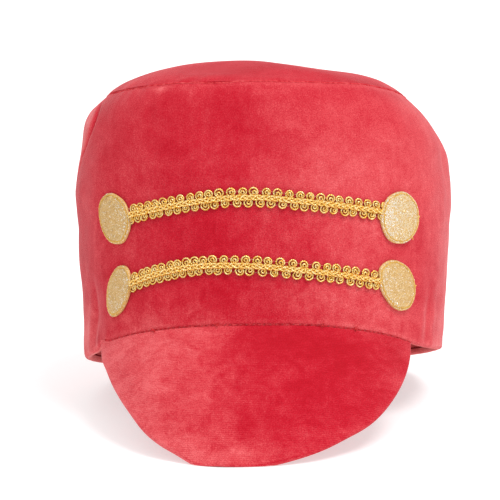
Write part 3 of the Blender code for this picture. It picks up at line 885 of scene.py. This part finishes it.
def crease_pile_and_shade(name, stops):
    """Pile pressed into a seam: deep red, partly painted shade of the crease, broken up by paler tufts."""
    material, tree, shader = new_material(name, Roughness=1.0, Specular_IOR_Level=0.0)
    paint(tree, shader, noise(tree, object_place(tree), 620.0, 2.0, 0.6), stops)
    return material


def on_cloth(angle, height, lift):
    """Points at a lift off the band's cloth, with all its relief, and the normals there."""
    return off_wall(angle, height, band_relief(angle, height) + lift)


# How deep the ring's and the peak's creases lie, how far up the hem's line runs, and how many stitches hold
# the peak
RING_CREASE_DEPTH = 0.16
PEAK_CREASE_DEPTH = 0.48
HEM_LINE = 3.0
PEAK_STITCHES = 62


def seam_threads(material, pile, ring_pile_and_shade, hem_pile_and_shade):
    """Deep pile and painted shade in the creases of the ring seam, hem and peak seam, and the peak's
    stitches.

    A stitch slants, and dips into the cloth by the square of the way from its middle.
    """
    angle = np.linspace(-180.0, 180.0, 721)
    ring = off_wall(angle, ring_height(angle) + SEAM_GAP / 2,
                    band_relief(angle, ring_height(angle)) - RING_CREASE_DEPTH)
    height = rim_height(angle) + HEM_LINE
    hem = off_wall(angle, height, 0.4 * band_relief(angle, height) - WALL - TURN_UP - 0.1)
    angle = np.linspace(-PEAK_HALF_ANGLE + 3.8, PEAK_HALF_ANGLE - 0.2, 261)
    corner = peak_corner(angle)
    edge = off_wall(angle, rim_height(angle) - SEAM_GAP / 2 + CORNER_RISE * corner,
                    band_relief(angle, rim_height(angle)) - PEAK_CREASE_DEPTH + 0.9 * corner)
    for name, (path, normal), radius, sides, lining in (
            ("ring_seam_crease", ring, 0.50, 6, ring_pile_and_shade), ("hem_crease", hem, 0.36, 5, hem_pile_and_shade),
            ("peak_seam_crease", edge, 0.45, 6, pile)):
        thread_piece(name, [tubes(path[None], normal[None], radius, sides)], lining)
    draw = np.random.default_rng(61)
    middle = np.linspace(-PEAK_HALF_ANGLE + 4.0, PEAK_HALF_ANGLE - 1.0, PEAK_STITCHES)
    middle += draw.uniform(-0.25, 0.25, PEAK_STITCHES)
    run = np.linspace(-1, 1, 7)
    angle = middle[:, None] + 0.42 * run
    height = rim_height(angle) - 0.15 + 0.28 * run + draw.uniform(-0.15, 0.15, (PEAK_STITCHES, 1))
    path, normal = on_cloth(angle, height, -0.12 - 0.34 * run**2)
    thread_piece("peak_seam_stitches", [tubes(path, normal, 0.21, 5)], material)


def loose_fibres(pile, stitch):
    """Tufts of pile caught in the peak's seam, and tails of thread at the right discs: short bent fibres."""
    draw = np.random.default_rng(67)
    run = np.linspace(0, 1, 6)
    solids = []
    for angle in (-29.0, -9.5, 20.5, 30.5):
        base, normal = off_wall(angle, rim_height(angle), 0.1)
        way = unit(normal + draw.normal(0.0, 0.8, (16, 3)))
        bend = draw.normal(0.0, 0.5, (16, 3))
        length = draw.uniform(0.7, 1.5, (16, 1, 1))
        path = base + length * (run[:, None] * way[:, None] + run[:, None]**2 * bend[:, None])
        solids.append(tubes(path, np.broadcast_to(normal, path.shape), 0.12, 4))
    thread_piece("seam_tufts", solids, pile)
    solids = []
    for patch, turn, length in ((PATCHES[2], 0.08, 1.6), (PATCHES[2], -0.85, 2.6), (PATCHES[3], 0.02, 1.4)):
        across, up = disc_edge(patch, np.full(6, turn), 0.93 + run * length / patch.half_width)
        path, normal = on_disc(patch, across, up + 0.5 * run**2, 1.75 - 0.5 * run)
        solids.append(plied(path[None], normal[None], 0.28, 1.0))
    thread_piece("thread_tails", solids, stitch)


# The gimp: its loops' outer and inner rings, the slack of the inner ones, how far out the lower and the upper
# row sit, and the cord; the rib with its half width, its strands, and the length in which a strand swings
# across and back; the usual pitch of loops, how long an end dips under its disc, and where the threads that
# join the loops run
LOOP_RADIUS = 1.74
LOOP_INNER_RADIUS = 0.70
LOOP_SLACK = 0.24
LOOP_OFFSETS = (2.40, 2.72)
CORD_RADIUS = 0.44
RIB_RADIUS = 0.60
RIB_HALF_WIDTH = 0.95
RIB_STRANDS = 3
RIB_TURN = 9.2
USUAL_PITCH = 4.9
END_DIP = 2.6
JOINING_WIDTHS = (-2.9, 3.1)


def braid_frame(levels):
    """Two functions for a braid.

    One gives the place on the cloth and its normal from a length along, a width up and a lift, and the other
    the length at an angle.
    """
    angle = np.linspace(-44.0, 46.0, 1100)
    height = smooth_rows(levels, angle)[..., 0]
    line = wall(angle, height)
    length = np.concatenate([[0], np.cumsum(np.linalg.norm(np.diff(line, axis=0), axis=1))])
    slope = np.gradient(height, length)
    degrees = np.gradient(angle, length)

    def place(along, across, lift):
        """Turns a width up square to the braid's slope: it moves the angle, and shortens the rise."""
        tilt = np.interp(along, length, slope)
        here = np.interp(along, length, angle) - across * tilt * np.interp(along, length, degrees)
        high = np.interp(along, length, height) + across * np.sqrt(np.maximum(1 - tilt**2, 0.2))
        return on_cloth(here, high, lift)

    return place, lambda at: np.interp(at, angle, length)


def loop_path(pitch, offset):
    """One gimp cord, as lengths along, widths out from the braid's middle and lifts, about its own loop.

    It starts a pitch and a half back on the far side of the rib, slants across it, runs tangent into the
    loop's outer ring nearest the middle, goes once round, draws in to the inner ring and goes round again.
    The last value says how far each point belongs to the inner ring, from 0 to 1.
    """
    run = np.linspace(0, 1, 24)[:-1]
    rib = curve(run[:, None], np.array([-1.55 * pitch, -RIB_HALF_WIDTH]), np.array([5.2, 0.2]),
                np.array([0.0, offset - LOOP_RADIUS]), np.array([5.4, 0.6]))
    rib_lift = 0.55 + 0.25 * np.sin(math.pi * run)
    turn = np.linspace(0, 1, 62)
    radius = LOOP_RADIUS + (LOOP_INNER_RADIUS - LOOP_RADIUS) * ease(turn, 0.46, 0.62)
    way = math.radians(-90.0) + turn * math.radians(730.0)
    drawn_in = ease(turn, 0.42, 0.64)
    ring = np.stack([0.10 * drawn_in + radius * np.cos(way),
                     offset - 0.16 * drawn_in + radius * np.sin(way)], -1)
    ring_lift = 0.85 + 0.15 * ease(turn, 0.4, 0.6) - 0.4 * ease(turn, 0.92, 1.0)
    path = np.concatenate([rib, ring])
    return path[:, 0], path[:, 1], np.concatenate([rib_lift, ring_lift]), np.concatenate([0 * run, drawn_in])


def gimp(braid, gold, white):
    """Looped gimp braid: cords that loop above and below, half a pitch apart, under a rib of three cords.

    Each cord of the rib swings across as a sine of its length, and rises where it crosses its neighbour.
    """
    place, length_at = braid_frame(braid.middle)
    first, last = length_at(braid.ends)
    draw = np.random.default_rng(braid.seed)

    def pitch_at(along):
        """Pitch of the loops, straight between the table's rows."""
        return np.interp((along - first) / (last - first), *np.array(braid.pitches).T)

    def low_ends(along):
        """0 at both ends, where the braid goes under its discs, and 1 between."""
        return ease(along, first, first + END_DIP) * ease(-along, -last, END_DIP - last)

    centres = [length_at(braid.first_loop)]
    while centres[-1] < last:
        centres.append(centres[-1] + pitch_at(centres[-1]))
    above = np.array(centres)
    below = above - pitch_at(above) / 2
    solids = []
    for side, middles, offset in ((-1, below, LOOP_OFFSETS[0]), (1, above, LOOP_OFFSETS[1])):
        pitch, each = pitch_at(middles), (len(middles), 1)
        along, out, lift, inner = np.moveaxis(np.array([loop_path(p, offset) for p in pitch]), 1, 0)
        slack = np.random.default_rng(braid.seed + side).uniform(-LOOP_SLACK, LOOP_SLACK, (3, *each))
        along, out, lift = along + slack[0] * inner, out + slack[1] * inner, lift + 0.5 * slack[2] * inner
        size = (0.80 + 0.20 * pitch / USUAL_PITCH)[:, None] * draw.uniform(0.90, 1.08, each)
        in_ring = ease(out, offset - LOOP_RADIUS, offset - LOOP_RADIUS + 0.8)
        along = along * (1 + (size - 1) * in_ring) + draw.uniform(-0.14, 0.14, each) * out
        out = offset + (out - offset) * np.where(out > offset, size, 1.0)
        along = np.clip(middles[:, None] + along, first, last)
        lift = (lift + draw.uniform(-0.08, 0.08, each)) * (0.45 + 0.55 * low_ends(along))
        solids.append(tubes(*place(along, side * out, lift), CORD_RADIUS, 8))
    run = np.linspace(first, last, 460)
    turn = 2 * math.pi * (run / RIB_TURN + np.arange(RIB_STRANDS)[:, None] / RIB_STRANDS)
    over = (1.55 + 0.34 * np.sin(2 * turn)) * (0.35 + 0.65 * low_ends(run))
    across = RIB_HALF_WIDTH * np.sin(turn)
    solids.append(tubes(*place(np.broadcast_to(run, turn.shape), across, over), RIB_RADIUS, 8))
    piece = thread_piece(braid.name, solids, gold)
    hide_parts(braid.node)
    along = np.arange(first, last, 0.5)
    threads = []
    for across in JOINING_WIDTHS:
        path, normal = place(along, across + 0.12 * np.sin(along * 1.3), 0.55 + 0.25 * np.cos(along * 1.25))
        threads.append(tubes(path[None], normal[None], 0.09, 4))
    thread_piece(braid.name + "_joining_thread", threads, white)


# Stitches round a disc, and how far out they and their groove lie
STITCHES = 32
STITCH_RING = 0.905


def on_disc(patch, across, up, lift):
    """Places and normals on the cloth, millimetres across and up from a disc's middle and at a lift."""
    degree = math.radians(1) * np.linalg.norm(wall(patch.angle, patch.height)[:2])
    return on_cloth(patch.angle + across / degree, patch.height + up, lift)


def disc_edge(patch, turn, share):
    """Millimetres across and up of a disc's leaning oval, made uneven by two waves of three and seven."""
    share = share * (1 + 0.012 * np.sin(3 * turn + patch.angle) + 0.008 * np.sin(7 * turn + patch.height))
    across = share * (patch.half_width * np.cos(turn) + patch.lean * np.sin(turn))
    return across, share * patch.half_height * np.sin(turn)


def disc_lift(turn, share):
    """Height of a disc's face at a share of the way out.

    It is a low crown, which falls with the share's square, a groove like a bell under the stitches, and a
    rounded edge.
    """
    top = SEAM_GAP + PATCH_THICKNESS
    crown = PATCH_CROWN * (1 - share**2)
    groove = 0.40 * bell(share, 0.028, STITCH_RING) * (0.75 + 0.25 * np.cos(turn * STITCHES))
    edge = (PATCH_THICKNESS - 0.35) * np.clip((share - 0.965) / 0.035, 0, 1)**2
    return top + crown - groove - edge


def disc_cloth(patch, ground):
    """Glitter cloth disc: a padded oval, its face in rings from the edge to the middle, closed underneath."""
    columns = 128
    turn = full_turn(columns)
    shares = np.concatenate([[0.4, 0.98, 1.0], np.linspace(0.995, 0.8, 26), np.linspace(0.78, 0.03, 18)])
    share = np.repeat(shares[:, None], columns, 1)
    turns = np.broadcast_to(turn, share.shape)
    lift = disc_lift(turns, share)
    lift[:3] = np.array([SEAM_GAP, SEAM_GAP, SEAM_GAP + 0.12])[:, None]
    points, _ = on_disc(patch, *disc_edge(patch, turns, share), lift)
    zero = np.zeros(2)
    middle, _ = on_disc(patch, zero, zero, np.array([SEAM_GAP, disc_lift(0.0, 0.0)]))
    points, faces = closed_rings(points, *middle)
    disc = make_piece("disc_" + patch.name, at_rest(points), faces, [ground])
    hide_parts("patch_" + patch.name)


def disc_glitter(patch, foil, seed, count=5200):
    """Foil flakes strewn over a disc: hexagons, each tilted at random, painted brighter towards the hat's
    front.
    """
    draw = np.random.default_rng(seed)
    far, way = np.sqrt(draw.uniform(0.0, 0.995, count)), draw.uniform(0, 2 * math.pi, count)
    centre, normal = on_disc(patch, *disc_edge(patch, way, far), disc_lift(way, far) + 0.05)
    tilt = draw.exponential(np.where(draw.random(count) < 0.75, 0.16, 0.45))[:, None]
    swing = unit(normal + tilt * unit(draw.normal(size=(count, 3))))
    first = unit(np.cross(swing, draw.normal(size=(count, 3))))[:, None]
    second = np.cross(swing[:, None], first)
    size = draw.uniform(0.13, 0.23, count)
    corner = full_turn(6)[None, :, None]
    # Painted light: the flakes' shades and painted sparkles rise towards the hat's middle front
    inward = -np.sign(patch.angle) * far * np.cos(way)
    shade = np.clip(draw.normal(0.20 + 0.5 * patch.paleness, 0.24, count) + 0.10 * inward, 0, 1)
    painted_sparkle = draw.random(count) < (0.01 + 0.08 * patch.paleness) * (0.35 + 1.9 * ease(inward, 0.0, 0.95))
    shade[painted_sparkle] = 1.0
    size = np.where(painted_sparkle, 1.3, 1.0) * size
    flakes = centre[:, None] + size[:, None, None] * (np.cos(corner) * first + np.sin(corner) * second)
    corners = np.arange(count * 6).reshape(count, 6)
    piece = make_piece("flakes_" + patch.name, at_rest(flakes.reshape(-1, 3)), corners, [foil], None,
                       {"shade": np.repeat(shade, 6)}, None)


def disc_stitches(patch, thread, seed):
    """Hand stitches round a disc: short arcs of plied thread that dip into the cloth at both ends."""
    draw = np.random.default_rng(seed)
    run = np.linspace(-1, 1, 9)
    turn = (np.arange(STITCHES)[:, None] + 0.45 * run) * 2 * math.pi / STITCHES
    ring = STITCH_RING + 0.008 * np.sin(5 * turn + patch.angle) + draw.uniform(-0.006, 0.006, (STITCHES, 1))
    across, up = disc_edge(patch, turn, ring)
    high = disc_lift(turn, ring) + 0.26 - 0.30 * np.abs(run)**2.5
    path, normal = on_disc(patch, across + patch.stitch_side * 0.5, up, high)
    thread_piece("stitches_" + patch.name, [plied(path, normal, 0.37, 1.4)], thread)


# Floor and light: the floor's size in metres, its grey and glow, the sky's greys from level to overhead, and
# the lamp's strength, its width and its place, in degrees
FLOOR_RADIUS = 9.0
FLOOR_SIDES = 96
FLOOR_DROP = 0.0003
FLOOR_GREY = 0.60
FLOOR_GLOW = 0.55
SKY = [(0.0, 0.40), (0.35, 0.64), (1.0, 1.10)]
LAMP_STRENGTH = 1.62
LAMP_WIDTH = 22.0
LAMP_AZIMUTH = 50.0
LAMP_ELEVATION = 62.0


def facing(azimuth, elevation):
    """Right, up and back of something that looks at the hat from degrees round and degrees up."""
    turn, rise = math.radians(azimuth), math.radians(elevation)
    back = np.array([math.sin(turn) * math.cos(rise), -math.cos(turn) * math.cos(rise), math.sin(rise)])
    right = np.array([math.cos(turn), math.sin(turn), 0.0])
    return right, np.cross(back, right), back


def set_up(name, data, columns):
    """Adds a lamp or camera to the scene, its place given by its right, up, back and origin."""
    holder = bpy.data.objects.new(name, data)
    holder.matrix_world = Matrix([*np.stack(columns, -1).tolist(), [0.0, 0.0, 0.0, 1.0]])
    bpy.context.scene.collection.objects.link(holder)
    return holder


def studio():
    """Plain pale floor, a sky that brightens overhead, and one soft lamp high up in front to the right."""
    scene = bpy.context.scene
    turn = full_turn(FLOOR_SIDES)
    rim = FLOOR_RADIUS * np.stack([np.cos(turn), np.sin(turn), 0 * turn], -1)
    rim[:, 2] = -FLOOR_DROP
    mesh = bpy.data.meshes.new("floor")
    mesh.from_pydata(rim.tolist(), [], [list(range(FLOOR_SIDES))])
    material, _, _ = new_material(
        "floor_white", Base_Color=(FLOOR_GREY, FLOOR_GREY, FLOOR_GREY, 1.0), Roughness=0.75,
        Emission_Color=(1.0, 1.0, 1.0, 1.0), Emission_Strength=FLOOR_GLOW)
    mesh.materials.append(material)
    floor = bpy.data.objects.new("floor", mesh)
    scene.collection.objects.link(floor)
    world = bpy.data.worlds.new("studio")
    scene.world = world
    world.use_nodes = True
    tree = world.node_tree
    direction = shader_node(tree, "TexCoord").outputs["Generated"]
    upward = shader_node(tree, "SeparateXYZ", {"Vector": direction}).outputs["Z"]
    sky = ramp(tree, upward, [(height, (grey, grey, grey)) for height, grey in SKY])
    tree.links.new(sky, tree.nodes["Background"].inputs["Color"])
    lamp = bpy.data.lights.new("key", "SUN")
    lamp.energy = LAMP_STRENGTH
    lamp.angle = math.radians(LAMP_WIDTH)
    right, up, back = facing(LAMP_AZIMUTH, LAMP_ELEVATION)
    set_up("key", lamp, (right, up, back, back * 2.0))
    scene.view_settings.view_transform = "Standard"


def photo_camera():
    """Camera of the photograph: set up in the hat's frame, and then leaned back with the hat."""
    right, up, back = facing(VIEW_AZIMUTH, VIEW_ELEVATION)
    beside, below = (np.array(VIEW_AIM_PIXEL) - FRAME_PIXELS / 2) / VIEW_FOCAL_PIXELS * VIEW_DISTANCE
    place = np.array(VIEW_AIM) + back * VIEW_DISTANCE - right * beside + up * below
    origin = at_rest(np.zeros(3), False)
    axes = [at_rest(axis / MM, False) - origin for axis in (right, up, back)]
    lens = bpy.data.cameras.new("camera")
    lens.sensor_width = SENSOR
    lens.lens = VIEW_FOCAL_PIXELS / FRAME_PIXELS * SENSOR
    lens.clip_start, lens.clip_end = 0.05, 50.0
    bpy.context.scene.camera = set_up("camera", lens, (*axes, at_rest(place, False)))


red = velvet("red_velvet_outside", RED_SHADES)
red_peak = velvet("red_velvet_peak", RED_SHADES, 0.5, (0.07, 0.26, 0.36))
inside = velvet("red_velvet_inside", INSIDE_SHADES)
gold = thread_gold("gold_thread", GOLD_SHADES, 0.34, 0.55)
pale_thread = plain_thread("joining_thread", (0.90, 0.48, 0.36))
stitch_gold = plain_thread("stitch_thread", (0.96, 0.55, 0.08), 0.45)
seam_red = plain_thread("seam_thread", (0.50, 0.026, 0.036))
tuft_pile = plain_thread("tuft_pile", (0.80, 0.02, 0.03), 0.8)
seam_pile_and_shade = crease_pile_and_shade("crease_pile_and_shade", [
    (0.36, (0.40, 0.014, 0.022)), (0.50, (0.56, 0.032, 0.044)), (0.66, (0.66, 0.07, 0.08))])
ring_pile_and_shade = crease_pile_and_shade("ring_crease_pile_and_shade", [
    (0.36, (0.52, 0.020, 0.032)), (0.50, (0.66, 0.052, 0.064)), (0.66, (0.74, 0.10, 0.11))])
hem_pile_and_shade = crease_pile_and_shade("hem_crease_pile_and_shade", [(0.36, (0.14, 0.010, 0.012)), (0.66, (0.26, 0.028, 0.030))])
ground, foil = glitter_cloth(), glitter_flake()

photo_camera()
band = crown_cloth(red, inside)
top = top_cloth(red, inside)
peak_cloth(red_peak)
seam_threads(seam_red, seam_pile_and_shade, ring_pile_and_shade, hem_pile_and_shade)
loose_fibres(tuft_pile, stitch_gold)
for braid in BRAIDS:
    gimp(braid, gold, pale_thread)
for number, patch in enumerate(PATCHES):
    disc_cloth(patch, ground)
    disc_glitter(patch, foil, 100 + number)
    disc_stitches(patch, stitch_gold, 200 + number)
studio()
